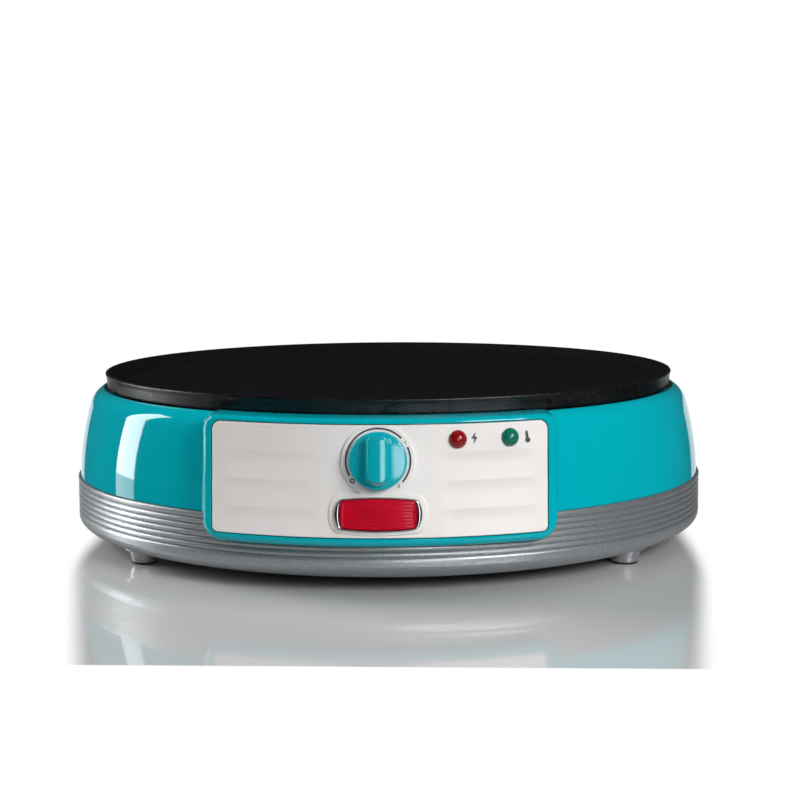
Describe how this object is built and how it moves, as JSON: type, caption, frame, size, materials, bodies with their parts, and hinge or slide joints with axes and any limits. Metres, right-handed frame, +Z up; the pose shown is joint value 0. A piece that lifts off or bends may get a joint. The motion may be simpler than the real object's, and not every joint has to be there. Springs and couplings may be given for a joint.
{
  "type": "electric crepe maker",
  "caption": "Round countertop crepe maker with a black rimmed hot plate, teal housing, ribbed silver base, and a front panel with a turning knob, lamps and a badge.",
  "frame": {"origin": "on the floor under the centre of the hot plate, which is also the bottom centre of the bounding box", "axes": "+Z up, -Y towards the control panel, +X to the right as seen from the front"},
  "size_m": [0.3304, 0.363, 0.088],
  "materials": {
    "housing_teal": "gloss",
    "base_silver": "satin silver paint",
    "panel_cream": "satin gloss",
    "print_black": "printed",
    "plate_nonstick": "black non-stick coating on a casting",
    "shield_steel": "aluminised sheet",
    "element_sheath": "heat-tinted",
    "zinc_steel": "zinc plated",
    "brass_parts": "plain",
    "copper": "plain copper",
    "thermostat_mould": "moulded",
    "badge_red": "gloss enamel",
    "badge_chrome": "polished",
    "lens_red": "clear red",
    "lens_green": "clear green",
    "neon_glass": "clear",
    "pad_rubber": "matt",
    "gland_black": "matt",
    "wire_brown": "insulation",
    "wire_black": "insulation",
    "wire_blue": "insulation",
    "wire_green": "insulation",
    "wire_white": "insulation"
  },
  "bodies": {
    "appliance": {"base_shell": "base_silver", "upper_housing": "housing_teal", "front_panel": "panel_cream", "dial_marks": "print_black", "panel_icons": "print_black", "thermostat_body": "thermostat_mould", "thermostat_bracket": "zinc_steel", "thermostat_nut": "brass_parts", "bracket_screws": "zinc_steel", "capillary_tube": "copper", "sensing_bulb": "copper", "bulb_clip": "zinc_steel", "badge_plate": "badge_red", "badge_bezel": "badge_chrome", "power_lens": "lens_red", "ready_lens": "lens_green", "power_lamp": "neon_glass", "ready_lamp": "neon_glass", "hot_plate": "plate_nonstick", "heating_element": "element_sheath", "element_pins": "zinc_steel", "heat_shield": "shield_steel", "plate_screws": "zinc_steel", "shield_screws": "zinc_steel", "thermal_fuse": "brass_parts", "fuse_clip": "zinc_steel", "clip_screws": "zinc_steel", "foot_front_left": "base_silver", "foot_front_right": "base_silver", "foot_rear_left": "base_silver", "foot_rear_right": "base_silver", "pad_front_left": "pad_rubber", "pad_front_right": "pad_rubber", "pad_rear_left": "pad_rubber", "pad_rear_right": "pad_rubber", "foot_screws": "zinc_steel", "housing_screws": "zinc_steel", "terminal_block": "thermostat_mould", "terminal_screws": "brass_parts", "block_screws": "zinc_steel", "wire_live": "wire_brown", "wire_neutral": "wire_blue", "wire_heater": "wire_black", "wire_earth": "wire_green", "wire_power_lamp": "wire_white", "wire_ready_lamp": "wire_white", "earth_tag": "zinc_steel", "earth_screw": "zinc_steel", "cord_gland": "gland_black", "gland_nut": "gland_black", "panel_screws": "zinc_steel"},
    "control_knob": {"knob": "housing_teal", "thermostat_shaft": "zinc_steel"}
  },
  "joints": [
    {"name": "knob_turn", "type": "hinge", "parent": "appliance", "child": "control_knob", "pos_m": [0, -0.16885, 0.0625], "axis": [0, 0.9925, -0.1219], "range_deg": [-128, 141]}
  ]
}
